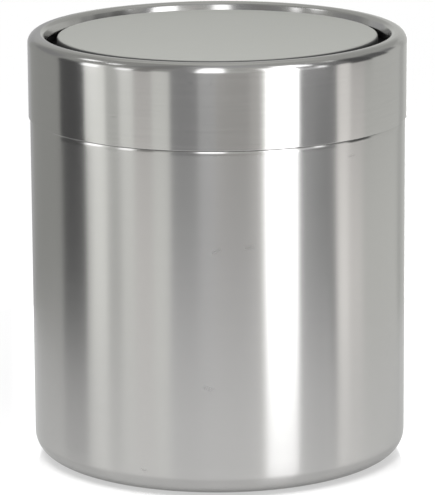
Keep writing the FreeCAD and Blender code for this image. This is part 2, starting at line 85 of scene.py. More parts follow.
# Steel: how fast the brush lines change round a piece, the scales of the smears and of a scuff's grain, how
# much a scuff darkens and dulls, the turn of the brushing, the tint at a low angle, the brushed ridges, the
# spacing of the broadest lines, and the scale of milling lines along a bar and across it.
BRUSH_ALONG = 40.0
SMEAR_SCALE, SCUFF_GRAIN = 28.0, 700.0
SCUFF_SHADE, SCUFF_DULL = 0.15, 0.04
BRUSH_TURN = 0.25
LOW_ANGLE_TINT = (0.8, 0.8, 0.8, 1)
RIDGE_STRENGTH, RIDGE_DEPTH = 0.015, 0.02 * MM
BROAD_PITCH, FINE_PITCH = 1.0 * MM, 0.5 * MM
MILLING = (40.0, 3000.0, 3000.0)

# Plastic: the scale of its slow clouds, how far pebbles and clouds change its sheen, and its pebbles' bump.
CLOUD_SCALE = 22.0
PEBBLE_SHEEN, CLOUD_SHEEN = 0.12, 0.06
PEBBLE_BUMP = 0.25

# Noise for streaks, which a stretched vector draws out, and softer noise for smears.
STREAKS = {"detail": 3.0, "roughness": 0.6}
SMEARS = {"detail": 3.0, "roughness": 0.55}

# Height of the picture in pixels, which the focal length is counted in, and the side of the sensor.
PHOTO_HEIGHT = 495
SENSOR = 36.0

# Stage: half the floor's side, its drop below the pad and its sheen, and where the softbox hangs.
FLOOR_HALF, FLOOR_DROP = 30.0, 0.05 * MM
FLOOR_ROUGHNESS, FLOOR_IOR = 0.16, 1.5
LAMP_PLACE, LAMP_LEAN, LAMP_WIDTH = (-0.06, -0.32, 0.62), math.radians(34), 0.5
WHITE = (1, 1, 1, 1)


def length(name, description, default):
    """A length in metres that a user may change."""
    return FloatProperty(name=name, description=description, default=default, unit="LENGTH", precision=5)


def share(name, description, default):
    """A number between 0 and 1 that a user may change."""
    return FloatProperty(name=name, description=description, default=default, min=0, max=1,
                         subtype="FACTOR")


def paint(name, description, default):
    """A colour that a user may change."""
    return FloatVectorProperty(name=name, description=description, default=default, size=3, min=0, max=1,
                               subtype="COLOR")


class BinSizes(PropertyGroup):
    """Sizes of the turned and formed pieces."""

    sheet: length("Sheet", "Steel of the can and the collar", 0.5 * MM)
    can_radius: length("Can radius", "Outside of the can's wall", CAN_HIGH.x)
    can_bottom: length("Can bottom", "Underside of the steel above the table", CAN_LOW.z)
    foot_radius: length("Foot radius", "Rounding at the foot of the can", 6.5 * MM)
    recess_radius: length("Recess radius", "Raised panel of the bottom", 45.7 * MM)
    recess_depth: length("Recess depth", "Rise of the bottom panel", 1.8 * MM)
    shoulder_height: length("Shoulder height", "Top of the can's shoulder", 114.18 * MM)
    shoulder_rise: length("Shoulder rise", "Height over which the wall draws in below it", 0.8 * MM)
    shoulder_draw: length("Shoulder draw", "How far the wall draws in there", 0.36 * MM)
    shoulder_radius: length("Shoulder radius", "Curve of the wall where it starts to draw in", 3.3 * MM)
    shoulder_edge: length("Shoulder edge", "Edge of the shoulder", 0.2 * MM)
    neck_radius: length("Neck radius", "Outside of the neck", 59.15 * MM)
    neck_fillet: length("Neck fillet", "Foot of the neck", 0.4 * MM)
    bead_radius: length("Bead radius", "Curled rim of the neck", 0.9 * MM)
    roll_radius: length("Roll radius", "Outer side of the collar's rolled rim", 3.2 * MM)
    rim_rise: length("Rim rise", "Height of the flatter inner side of the rim", 2.2 * MM)
    rim_run: length("Rim run", "Slope of the flatter inner side of the rim", 0.9 * MM)
    rim_edge: length("Rim edge", "Rounding between the crest and the inner side", 1.8 * MM)
    return_depth: length("Return depth", "Straight wall inside the rim", 2.2 * MM)
    lid_edge: length("Lid edge", "Rounding of the lid's upper edge", 1 * MM)
    lid_lean: FloatProperty(name="Lid lean", description="How far the lid at rest lifts its front edge",
                            default=math.radians(0.8), subtype="ANGLE")
    lid_skin: length("Lid skin", "Top of the lid", 1.8 * MM)
    lid_skirt: length("Lid skirt", "Side of the lid", 1.6 * MM)
    tab_width: length("Tab width", "Stop tab of the lid", 2.4 * MM)
    tab_height: length("Tab height", "Stop tab of the lid", 1.2 * MM)
    weight_edge: length("Weight edge", "Rounding of the bar's edges", 0.8 * MM)
    screw_radius: length("Screw radius", "Shank of a screw", 1.3 * MM)
    screw_head: length("Screw head radius", "Head of a screw", 2.6 * MM)
    screw_head_height: length("Screw head height", "Head of a screw", 1.7 * MM)
    turns: IntProperty(name="Steps round", description="Steps round a turned piece", default=288, min=24)


class BinFinish(PropertyGroup):
    """Colours and finishes."""

    steel: paint("Steel", "Colour of the brushed steel", (0.4, 0.397, 0.39))
    can_roughness: share("Can roughness", "Brushed wall of the can", 0.26)
    can_brushing: share("Can brushing", "How far the brushing spreads a reflection upright", 0.9)
    # Painted shade: the can's foot corner is darkened, standing in for the floor's shadow that it reflects.
    painted_foot_shade: share("Foot shade", "How much darker the drawn corner of the can is", 0.14)
    collar_roughness: share("Collar roughness", "Brushed wall of the collar", 0.19)
    collar_brushing: share("Collar brushing", "How far the brushing spreads a reflection upright", 0.85)
    roll_roughness: share("Roll roughness", "Smoother steel of the rolled rim", 0.17)
    roll_brushing: share("Roll brushing", "How far the brushing spreads a reflection over the rim", 0.55)
    lid: paint("Lid", "Silver-grey plastic of the lid", (0.292, 0.295, 0.277))
    lid_roughness: share("Lid roughness", "Matt lid", 0.5)
    plate: paint("Plate", "Grey plastic under the lid", (0.3, 0.3, 0.29))
    frame: paint("Frame", "Dark plastic of the frame and washers", (0.035, 0.035, 0.036))
    bush: paint("Bush", "Waxy plastic of the bushes", (0.74, 0.72, 0.66))
    foam: paint("Foam", "Pad under the can", (0.035, 0.035, 0.037))
    weight: paint("Weight", "Milled steel of the bar", (0.55, 0.55, 0.54))
    screw: paint("Screw", "Plated steel of the screws", (0.56, 0.56, 0.55))
    pin: paint("Pin", "Ground steel of the pins", (0.6, 0.6, 0.59))


class BinStudio(PropertyGroup):
    """Camera, floor and lights."""

    camera: FloatVectorProperty(name="Camera", description="Place of the camera", size=3,
                                default=(-0.0004, -1.1944, 0.3492), subtype="TRANSLATION")
    tilt: FloatProperty(name="Tilt", description="How far the camera looks down", default=0.2307,
                        subtype="ANGLE")
    roll: FloatProperty(name="Roll", description="Turn of the camera about its view", default=-0.0062,
                        subtype="ANGLE")
    focal_pixels: FloatProperty(name="Focal length", description="In pixels of the picture", default=3679.7)
    floor: paint("Floor", "Pale floor", (0.62, 0.62, 0.618))
    floor_glow: FloatProperty(name="Floor glow", description="Light of the floor itself", default=0.46)
    sky: FloatProperty(name="Sky", description="Even light from all round", default=0.3)
    lamp: FloatProperty(name="Lamp", description="Power of the overhead softbox", default=4.6, unit="POWER")
    tent_radius: length("Tent radius", "Ring of reflecting panels round the bin", 0.21)
    tent_height: length("Tent height", "Top of the panels", 0.42)


class Term:
    """A value in a node tree. Arithmetic on it adds Math nodes, and out gives the node's other sockets."""

    def __init__(self, tree, socket):
        self.tree = tree
        self.socket = socket

    def out(self, name):
        return Term(self.tree, self.socket.node.outputs[name])

    def _math(self, operation, first, second):
        return self.tree.node("ShaderNodeMath", {"operation": operation}, {0: first, 1: second})

    def __add__(self, other):
        return self._math("ADD", self, other)

    def __radd__(self, other):
        return self._math("ADD", other, self)

    def __sub__(self, other):
        return self._math("SUBTRACT", self, other)

    def __rsub__(self, other):
        return self._math("SUBTRACT", other, self)

    def __mul__(self, other):
        return self._math("MULTIPLY", self, other)

    def __rmul__(self, other):
        return self._math("MULTIPLY", other, self)


class NodeTree:
    """The nodes of a material or of the world."""

    def __init__(self, owner, output):
        owner.use_nodes = True
        self.nodes = owner.node_tree.nodes
        self.links = owner.node_tree.links
        self.nodes.clear()
        self.owner = owner
        self.output = self.nodes.new(output)

    def node(self, kind, settings=None, inputs=None, output=0):
        """Adds a node: its settings first, then the values or links of its sockets."""
        made = self.nodes.new(kind)
        for name, value in (settings or {}).items():
            setattr(made, name, value)
        for name, value in (inputs or {}).items():
            if isinstance(value, Term):
                self.links.new(value.socket, made.inputs[name])
            else:
                made.inputs[name].default_value = value
        return Term(self, made.outputs[output])

    def finish(self, surface):
        """Links a surface to the output, and gives back the material or the world."""
        self.links.new(surface.socket, self.output.inputs["Surface"])
        return self.owner

    def place(self):
        """Object coordinates: metres in the part's frame."""
        return self.node("ShaderNodeTexCoord", output="Object")

    def run(self):
        """Length along a piece's section, from its UV map."""
        return self.node("ShaderNodeSeparateXYZ", {}, {0: self.place().out("UV")}).out("Y")

    def seen(self):
        """1 for rays that show the background: from the camera, off a mirror, through a clear piece."""
        path = self.node("ShaderNodeLightPath", output="Is Camera Ray")
        return path + path.out("Is Glossy Ray") + path.out("Is Transmission Ray")

    def between(self, value, low, high, to_low=0.0, to_high=1.0):
        """Eases a value from to_low to to_high as it goes from low to high."""
        return self.node("ShaderNodeMapRange", {"interpolation_type": "SMOOTHSTEP"},
                         {"Value": value, "From Min": low, "From Max": high,
                          "To Min": to_low, "To Max": to_high})

    def noise(self, vector, scale, detail=2.0, roughness=0.5):
        """Noise between 0 and 1, about a half on average."""
        return self.node("ShaderNodeTexNoise", {},
                         {"Vector": vector, "Scale": scale, "Detail": detail, "Roughness": roughness})

    def tinted(self, factor, dark, light):
        """A colour between two colours."""
        return self.node("ShaderNodeMix", {"data_type": "RGBA"},
                         {"Factor": factor, 6: (*dark, 1), 7: (*light, 1)}, output=2)

    def bump(self, height, strength, distance):
        """A normal that follows a height."""
        return self.node("ShaderNodeBump", {},
                         {"Height": height, "Strength": strength, "Distance": distance})


def new_finish(name):
    """Starts a material."""
    return NodeTree(bpy.data.materials.new(name), "ShaderNodeOutputMaterial")


def shaded(colour, amount):
    """A colour made darker or lighter by a factor."""
    return tuple(min(max(channel * amount, 0), 1) for channel in colour)


def brush_lines(tree, across):
    """Noise drawn out round a turned piece: slow with x and y, quick with the length along its section."""
    parts = tree.node("ShaderNodeSeparateXYZ", {}, {0: tree.place()})
    stretched = tree.node("ShaderNodeCombineXYZ", {},
                          {0: parts.out("X") * BRUSH_ALONG, 1: parts.out("Y") * BRUSH_ALONG,
                           2: tree.run() * across})
    return tree.noise(stretched, 1.0, **STREAKS)


def scuff_marks(tree, scuffs, radius):
    """How strongly the rubbed marks show: soft streaks on the front of the wall, broken up by noise.

    A streak is 1 - d, where d is the distance from its middle counted in its half length and half width.
    """
    place = tree.place()
    marks = 0.0
    for x, z, half_length, half_width, slope in scuffs:
        centre = (x, -math.sqrt(radius ** 2 - x ** 2), z)
        local = tree.node("ShaderNodeMapping", {"vector_type": "TEXTURE"},
                          {"Vector": place, "Location": centre, "Rotation": (0, -math.radians(slope), 0),
                           "Scale": (half_length, radius, half_width)})
        away = tree.node("ShaderNodeVectorMath", {"operation": "LENGTH"}, {0: local}, "Value")
        marks = marks + tree.between(away, 0.1, 1.0, 1.0, 0.0)
    return marks * tree.between(tree.noise(place, SCUFF_GRAIN), 0.3, 0.6, 0.25, 1.0)


def steel_surface(tree, colour, roughness, brushing, streak, smear, marks, pitch, painted_shade=0.0):
    """Steel whose brush lines run round it: faint lines in colour and roughness, slow smears, and scuffs.

    pitch is the spacing of the broadest lines, and the last argument darkens the colour as painted shade.
    """
    lines = brush_lines(tree, 1 / pitch)
    clouds = tree.noise(tree.place(), SMEAR_SCALE, **SMEARS)
    tone = tree.tinted(lines, shaded(colour, 1 - streak), shaded(colour, 1 + streak))
    tone = tree.node("ShaderNodeVectorMath", {"operation": "SCALE"},
                     {0: tone, "Scale": 1 - painted_shade - marks * SCUFF_SHADE})
    rough = roughness + (lines - 0.5) * streak + (clouds - 0.5) * smear + marks * SCUFF_DULL
    ridges = brush_lines(tree, 2 / pitch)
    return tree.node("ShaderNodeBsdfPrincipled", {},
                     {"Base Color": tone, "Roughness": rough, "Metallic": 1.0, "Anisotropic": brushing,
                      "Anisotropic Rotation": BRUSH_TURN, "Specular Tint": LOW_ANGLE_TINT,
                      "Normal": tree.bump(ridges, RIDGE_STRENGTH, RIDGE_DEPTH)})


def smooth_from(tree, settings, wall, marks, start, end):
    """The wall's steel, which gives way to the rim's smoother steel as the run goes from start to end."""
    smooth = steel_surface(tree, settings.steel, settings.roll_roughness, settings.roll_brushing,
                           streak=0.03, smear=0.02, marks=marks, pitch=FINE_PITCH)
    past = tree.between(tree.run(), start, end)
    return tree.finish(tree.node("ShaderNodeMixShader", {}, {0: past, 1: wall, 2: smooth}))


def can_steel(settings, radius, foot_top, shoulder_start):
    """Brushed wall, shade painted on the drawn corner at the foot, and a smoother shoulder."""
    tree = new_finish("can_steel")
    marks = scuff_marks(tree, CAN_SCUFFS, radius)
    height = tree.node("ShaderNodeSeparateXYZ", {}, {0: tree.place()}).out("Z")
    # Painted shade: the steel darkens towards the foot's corner, for the reflected shadow of the floor
    # beside the can.
    drawn = tree.between(height, foot_top - 1.4 * MM, foot_top, settings.painted_foot_shade, 0.0)
    wall = steel_surface(tree, settings.steel, settings.can_roughness, settings.can_brushing,
                         streak=0.02, smear=0.03, marks=marks, pitch=BROAD_PITCH, painted_shade=drawn)
    return smooth_from(tree, settings, wall, marks, shoulder_start - 0.2 * MM, shoulder_start + 0.2 * MM)


def collar_steel(settings, radius, roll_start):
    """Brushed wall that gives way to smoother steel over the rolled rim."""
    tree = new_finish("collar_steel")
    marks = scuff_marks(tree, COLLAR_SCUFFS, radius)
    wall = steel_surface(tree, settings.steel, settings.collar_roughness, settings.collar_brushing,
                         streak=0.05, smear=0.03, marks=marks, pitch=FINE_PITCH)
    return smooth_from(tree, settings, wall, marks, roll_start - 1.0 * MM, roll_start + 2.0 * MM)


def pebbles_and_clouds(tree, grain):
    """The two noises of a moulded face: a fine even grain, and a slow change."""
    place = tree.place()
    return tree.noise(place, grain, roughness=0.6), tree.noise(place, CLOUD_SCALE)


def moulded(tree, tone, roughness, pebbles, clouds, depth):
    """Plastic whose sheen follows its pebbles and clouds, and whose surface follows its pebbles."""
    rough = roughness + (pebbles - 0.5) * PEBBLE_SHEEN + (clouds - 0.5) * CLOUD_SHEEN
    return tree.finish(tree.node("ShaderNodeBsdfPrincipled", {},
                                 {"Base Color": tone, "Roughness": rough,
                                  "Normal": tree.bump(pebbles, PEBBLE_BUMP, depth)}))


def lid_with_painted_shade(settings, edge_run):
    """The lid's grey on its face and edge, and shade painted in the frame's dark colour on the side below,
    told apart by the run.
    """
    tree = new_finish("lid_plastic")
    pebbles, clouds = pebbles_and_clouds(tree, 2600.0)
    # Painted shade: below its edge the lid takes the frame's dark colour, for the shade in the gap there.
    face_above_painted_shade = tree.between(tree.run(), edge_run - 0.3 * MM, edge_run + 0.2 * MM)
    tone = tree.tinted(face_above_painted_shade * (0.96 + clouds * 0.028 + pebbles * 0.012), settings.frame, settings.lid)
    return moulded(tree, tone, settings.lid_roughness, pebbles, clouds, 0.02 * MM)


def grained_plastic(name, colour, roughness, grain, depth):
    """Moulded plastic: a fine even grain, and a slow change of tone."""
    tree = new_finish(name)
    pebbles, clouds = pebbles_and_clouds(tree, grain)
    tone = tree.tinted(clouds * 0.7 + pebbles * 0.3, shaded(colour, 0.96), shaded(colour, 1.04))
    return moulded(tree, tone, roughness, pebbles, clouds, depth)


def milled_steel(name, colour, roughness):
    """Bar stock: straight milling lines along X and a slow change of sheen."""
    tree = new_finish(name)
    place = tree.place()
    stretched = tree.node("ShaderNodeMapping", {}, {"Vector": place, "Scale": MILLING})
    lines = tree.noise(stretched, 1.0, **STREAKS)
    clouds = tree.noise(place, 60.0, **SMEARS)
    tone = tree.tinted(lines, shaded(colour, 0.9), shaded(colour, 1.08))
    rough = roughness + (lines - 0.5) * 0.12 + (clouds - 0.5) * 0.1
    surface = tree.node("ShaderNodeBsdfPrincipled", {},
                        {"Base Color": tone, "Roughness": rough, "Metallic": 1.0,
                         "Normal": tree.bump(lines, 0.15, 0.02 * MM)})
    return tree.finish(surface)


def closed_foam(settings):
    """Foam with small closed cells."""
    tree = new_finish("foam_pad")
    cells = tree.node("ShaderNodeTexVoronoi", {}, {"Vector": tree.place(), "Scale": 1400.0})
    tone = tree.tinted(cells, shaded(settings.foam, 0.7), shaded(settings.foam, 1.5))
    surface = tree.node("ShaderNodeBsdfPrincipled", {},
                        {"Base Color": tone, "Roughness": 0.85 + cells * 0.1,
                         "Normal": tree.bump(cells, 0.5, 0.15 * MM)})
    return tree.finish(surface)


def rounded_section(corners, step=6.0, longest=None):
    """A section from corners (r, z, rounding): straight runs joined by tangent arcs of that radius.

    An arc is centred where the two runs, moved in by its radius, cross, and is sampled every step degrees.
    Straight runs longer than longest are divided evenly.
    """
    points = np.array([corner[:2] for corner in corners], float)
    rounding = np.array([corner[2] if len(corner) > 2 else 0.0 for corner in corners])
    pieces = []
    for index, (point, radius) in enumerate(zip(points, rounding)):
        if radius <= 0:
            pieces.append(point[None])
            continue
        before = points[index - 1] - point
        after = points[(index + 1) % len(points)] - point
        before /= np.linalg.norm(before)
        after /= np.linalg.norm(after)
        half = math.acos(np.clip(np.dot(before, after), -1, 1)) / 2
        first = point + before * radius / math.tan(half)
        bisector = (before + after) / np.linalg.norm(before + after)
        centre = point + bisector * radius / math.sin(half)
        turn = math.pi - 2 * half
        count = max(int(math.ceil(math.degrees(turn) / step)), 2) + 1
        start = math.atan2(*(first - centre)[::-1])
        side = np.sign(before[1] * after[0] - before[0] * after[1])
        angles = start + side * np.linspace(0, turn, count)
        pieces.append(centre + radius * np.stack([np.cos(angles), np.sin(angles)], 1))
    section = np.concatenate(pieces)
    if longest is not None:
        gaps = np.linalg.norm(np.diff(section, axis=0), axis=1)
        parts = np.maximum(np.ceil(gaps / longest).astype(int), 1)
        knots = np.concatenate([[0], np.cumsum(parts)])
        at = np.arange(knots[-1] + 1)
        section = np.stack([np.interp(at, knots, section[:, axis]) for axis in (0, 1)], 1)
    return section


def ring_faces(rows, columns, closed, poles):
    """Faces of a grid whose columns wrap round, as index rows, with the fans of its poles.

    Quad (i, j) joins row i to row i + 1. A pole is one point joined to all of the first or last row.
    """
    down = np.arange(rows if closed else rows - 1)
    low = down[:, None] * columns + np.arange(columns)
    low_next = down[:, None] * columns + (np.arange(columns) + 1) % columns
    up = (down + 1) % rows
    high = up[:, None] * columns + np.arange(columns)
    high_next = up[:, None] * columns + (np.arange(columns) + 1) % columns
    faces = np.stack([low, low_next, high_next, high], 2).reshape(-1, 4).tolist()
    around = np.arange(columns)
    beside = (around + 1) % columns
    if poles:
        last = (rows - 1) * columns
        first_pole, last_pole = rows * columns, rows * columns + 1
        faces += np.stack([beside, around, np.full(columns, first_pole)], 1).tolist()
        faces += np.stack([last + around, last + beside, np.full(columns, last_pole)], 1).tolist()
    return faces


def put_mesh(name, points, faces, runs=None, sharp=38.0):
    """A piece at the origin from points and faces, shaded smooth but for edges sharper than an angle.

    runs, where given, is the length along the section at each point, kept as the second UV coordinate.
    """
    mesh = bpy.data.meshes.new(name)
    mesh.from_pydata(points.tolist(), [], faces)
    if runs is not None:
        corner_points = np.empty(len(mesh.loops), np.int32)
        mesh.loops.foreach_get("vertex_index", corner_points)
        around = np.arctan2(points[:, 1], points[:, 0]) / (2 * math.pi) + 0.5
        uv = np.stack([around[corner_points], runs[corner_points]], 1).astype(np.float32)
        mesh.uv_layers.new(name="section").data.foreach_set("uv", uv.ravel())
    mesh.polygons.foreach_set("use_smooth", np.ones(len(mesh.polygons), bool))
    mesh.set_sharp_from_angle(angle=math.radians(sharp))
    mesh.validate()
    piece = bpy.data.objects.new(name, mesh)
    bpy.context.scene.collection.objects.link(piece)
    return piece


def turned(section, columns, closed):
    """Points, faces and runs of a section (r, z) turned about Z.

    A point is (r cos t, r sin t, z). An open section starts and ends on the axis, in two poles.
    The section runs anticlockwise, with +r to the right and +z up, so that the faces point outwards.
    """
    run = np.concatenate([[0], np.cumsum(np.linalg.norm(np.diff(section, axis=0), axis=1))])
    body = section if closed else section[1:-1]
    body_run = run if closed else run[1:-1]
    angle = np.linspace(0, 2 * math.pi, columns, endpoint=False)
    radius = body[:, 0][:, None]
    height = np.broadcast_to(body[:, 1][:, None], (len(body), columns))
    points = np.stack([radius * np.cos(angle), radius * np.sin(angle), height], 2).reshape(-1, 3)
    runs = np.repeat(body_run, columns)
    if not closed:
        ends = np.array([[0, 0, section[0, 1]], [0, 0, section[-1, 1]]])
        points = np.concatenate([points, ends])
        runs = np.concatenate([runs, [run[0], run[-1]]])
    return points, ring_faces(len(body), columns, closed, not closed), runs


def leaned(points, angle):
    """Points turned about the pins' axis, so that the front goes up by a positive angle."""
    height = points[:, 2] - PIN_HEIGHT
    depth = points[:, 1]
    return np.stack([points[:, 0], depth * math.cos(angle) + height * math.sin(angle),
                     PIN_HEIGHT + height * math.cos(angle) - depth * math.sin(angle)], 1)


def rounded_block(along, wide, high, rounding):
    """A block with rounded edges: a rounded rectangle in Y and Z carried along X, drawn in at its ends."""
    width, height = wide[1] - wide[0], high[1] - high[0]
    middle_y, middle_z = sum(wide) / 2, sum(high) / 2
    inset = rounding * np.array([0.999, 0.3, 0.0, 0.0, 0.3, 0.999])
    places = np.array([along[0], along[0] + 0.3 * rounding, along[0] + rounding,
                       along[1] - rounding, along[1] - 0.3 * rounding, along[1]])
    corners = [(across * width / 2, up * height / 2, rounding)
               for across, up in ((1, 1), (-1, 1), (-1, -1), (1, -1))]
    outline = rounded_section(corners, 15.0)
    scale_y = (1 - 2 * inset / width)[:, None]
    scale_z = (1 - 2 * inset / height)[:, None]
    points = np.stack([np.broadcast_to(places[:, None], (len(places), len(outline))),
                       middle_y + outline[:, 0] * scale_y, middle_z + outline[:, 1] * scale_z], 2)
    ends = np.array([[along[0], middle_y, middle_z], [along[1], middle_y, middle_z]])
    points = np.concatenate([points.reshape(-1, 3), ends])
    return points, ring_faces(len(places), len(outline), False, True)


def dress(piece, material, body, slot, *nodes):
    """Gives a piece its finish and its body, and hides the nodes that it stands for. slot is not used."""
    piece.data.materials.append(material)
    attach(piece, body)
    if nodes:
        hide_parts(*nodes)
    return piece


def cover_node(name, material):
    """Gives a node of the solid model a finish in place of its plain one."""
    mesh = frame["nodes"][name].data
    mesh.materials.clear()
    mesh.materials.append(material)


class BIN_OT_can(Operator):
    """Turns the steel can: raised bottom, rounded foot, wall, shoulder, neck and curled rim"""

    bl_idname = "bin.can"
    bl_label = "Can"

    def execute(self, context):
        size = context.scene.bin_sizes
        sheet = size.sheet
        low = size.can_bottom
        panel = low + size.recess_depth
        recess_foot = size.recess_radius + size.recess_depth
        miter = sheet * math.tan(math.pi / 8)
        top = CAN_HIGH.z
        curl = size.bead_radius - sheet
        middle = size.neck_radius + curl
        curl_height = top - size.bead_radius
        bend = 1.2 * MM
        outside = [
            (0, panel), (size.recess_radius, panel, bend), (recess_foot, low, bend),
            (size.can_radius, low, size.foot_radius),
            (size.can_radius, size.shoulder_height - 3 * size.shoulder_rise),
            (size.can_radius, size.shoulder_height - size.shoulder_rise, size.shoulder_radius),
            (size.can_radius - size.shoulder_draw, size.shoulder_height, size.shoulder_edge),
            (size.neck_radius, size.shoulder_height, size.neck_fillet),
            (size.neck_radius, curl_height + curl, curl), (middle + curl, curl_height + curl, curl),
            (middle + curl, curl_height - curl, curl), (middle, curl_height - curl),
        ]
        bead = size.bead_radius
        inside = [
            (middle, curl_height - bead), (middle + bead, curl_height - bead, bead),
            (middle + bead, top, bead), (middle - bead, top, bead),
            (size.neck_radius - sheet, size.shoulder_height - sheet, size.neck_fillet + sheet),
            (size.can_radius - sheet, size.shoulder_height - sheet, size.shoulder_edge / 2),
            (size.can_radius - sheet, low + sheet, size.foot_radius - sheet),
            (recess_foot + miter, low + sheet, bend), (size.recess_radius + miter, panel + sheet, bend),
            (0, panel + sheet),
        ]
        section = rounded_section(outside + inside, step=9.0, longest=4 * MM)
        points, faces, runs = turned(section, size.turns, closed=False)
        at_shoulder = runs[np.argmax(points[:, 2] > size.shoulder_height - 2 * size.shoulder_rise)]
        piece = put_mesh("can", points, faces, runs)
        material = can_steel(context.scene.bin_finish, size.can_radius, low + size.foot_radius,
                             float(at_shoulder))
        dress(piece, material, "can", "can_steel", "can_shell")
        return {"FINISHED"}


class BIN_OT_pad(Operator):
    """Turns the foam pad that the bin stands on"""

    bl_idname = "bin.pad"
    bl_label = "Pad"

    def execute(self, context):
        size = context.scene.bin_sizes
        lower_edge, upper_edge = 0.5 * MM, 0.2 * MM
        corners = [(0, PAD_LOW.z), (PAD_HIGH.x, PAD_LOW.z, lower_edge),
                   (PAD_HIGH.x, PAD_HIGH.z, upper_edge), (0, PAD_HIGH.z)]
        section = rounded_section(corners, step=15.0, longest=5 * MM)
        points, faces, runs = turned(section, size.turns // 2, closed=False)
        piece = put_mesh("pad", points, faces, runs)
        dress(piece, closed_foam(context.scene.bin_finish), "can", "foam_pad", "base_pad")
        return {"FINISHED"}


class BIN_OT_collar(Operator):
    """Turns the steel collar: lower edge, wall, rolled rim with a flatter inner side, short return"""

    bl_idname = "bin.collar"
    bl_label = "Collar"

    def execute(self, context):
        size = context.scene.bin_sizes
        sheet = size.sheet
        edge = sheet * 0.49
        radius = COLLAR_HIGH.x
        low, crest = COLLAR_LOW.z, COLLAR_HIGH.z
        roll = size.roll_radius
        throat = radius - 2 * roll
        return_end = crest - roll - size.return_depth
        top_corner = throat + size.rim_run * roll / size.rim_rise
        bend = 2 * MM
        outside = [
            (radius - sheet, low, edge), (radius, low, edge), (radius, crest, roll),
            (top_corner, crest, size.rim_edge), (throat, crest - roll, bend), (throat, return_end, edge),
        ]
        inside = [
            (throat + sheet, return_end, edge),
            (throat + sheet, crest - sheet, roll - sheet), (radius - sheet, crest - sheet, roll - sheet),
        ]
        section = rounded_section(outside + inside, step=5.0, longest=2.5 * MM)
        points, faces, runs = turned(section, size.turns, closed=True)
        at_roll = runs[np.argmax(points[:, 2] > crest - roll)]
        piece = put_mesh("collar", points, faces, runs)
        material = collar_steel(context.scene.bin_finish, radius, float(at_roll))
        dress(piece, material, "lid_ring", "collar_steel", "collar_ring")
        return {"FINISHED"}


class BIN_OT_lid(Operator):
    """Turns the grey lid with its rounded edge and skirt, and adds its two stop tabs"""

    bl_idname = "bin.lid"
    bl_label = "Lid"

    def execute(self, context):
        size = context.scene.bin_sizes
        finish = context.scene.bin_finish
        radius, top, low = LID_HIGH.y, LID_HIGH.z, LID_LOW.z
        inner = radius - size.lid_skirt
        under = top - size.lid_skin
        inner_edge, outer_edge = 0.3 * MM, 0.5 * MM
        corners = [(0, under), (inner, under, size.lid_skirt / 2), (inner, low, inner_edge),
                   (radius, low, outer_edge), (radius, top, size.lid_edge), (0, top)]
        section = rounded_section(corners, step=5.0, longest=4 * MM)
        points, faces, runs = turned(section, size.turns, closed=False)
        points = leaned(points, size.lid_lean)
        edge_run = runs.max() - (radius - size.lid_edge) - size.lid_edge * math.pi / 4
        material = lid_with_painted_shade(finish, float(edge_run))
        lid = put_mesh("lid", points, faces, runs)
        dress(lid, material, "flap", "lid_plastic", "flap_top")
        tab_root, tab_edge = radius - 0.3 * MM, 0.25 * MM
        for side, word in ((-1, "left"), (1, "right")):
            ends = sorted((side * tab_root, side * LID_HIGH.x))
            block = rounded_block(ends, (-size.tab_width / 2, size.tab_width / 2),
                                  (low, low + size.tab_height), tab_edge)
            dress(put_mesh(f"stop_tab_{word}", *block), material, "flap", "lid_plastic")
        return {"FINISHED"}


class BIN_OT_plate(Operator):
    """Gives the plate under the lid its plastic"""

    bl_idname = "bin.plate"
    bl_label = "Plate"

    def execute(self, context):
        finish = context.scene.bin_finish
        plastic = grained_plastic("plate_plastic", finish.plate, roughness=0.55, grain=1800.0,
                                  depth=0.03 * MM)
        cover_node("flap_base", plastic)
        return {"FINISHED"}


class BIN_OT_weight(Operator):
    """Forms the steel bar under the plate, with round ends and eased edges"""

    bl_idname = "bin.weight"
    bl_label = "Counterweight"

    def execute(self, context):
        size = context.scene.bin_sizes
        half = WEIGHT_HIGH.y
        straight = WEIGHT_HIGH.x - half
        edge = size.weight_edge
        low, high = WEIGHT_LOW.z, WEIGHT_HIGH.z
        steps, columns = 7, 144
        turn = np.linspace(0, math.pi / 2, steps)
        inset = np.concatenate([edge * (1 - np.sin(turn)), edge * (1 - np.cos(turn))])
        height = np.concatenate([low + edge * (1 - np.cos(turn)), high - edge * (1 - np.sin(turn))])
        angle = np.linspace(0, 2 * math.pi, columns, endpoint=False)
        middle = np.sign(np.cos(angle)) * straight * (np.abs(np.cos(angle)) > 1e-9)
        reach = (half - inset)[:, None]
        points = np.stack([middle + reach * np.cos(angle), reach * np.sin(angle),
                           np.broadcast_to(height[:, None], (len(height), columns))], 2).reshape(-1, 3)
        points = np.concatenate([points, [[0, 0, low], [0, 0, high]]])
        piece = put_mesh("counterweight_bar", points, ring_faces(len(height), columns, False, True))
        material = milled_steel("weight_steel", context.scene.bin_finish.weight, roughness=0.34)
        dress(piece, material, "flap", "weight_steel", "counterweight")
        return {"FINISHED"}


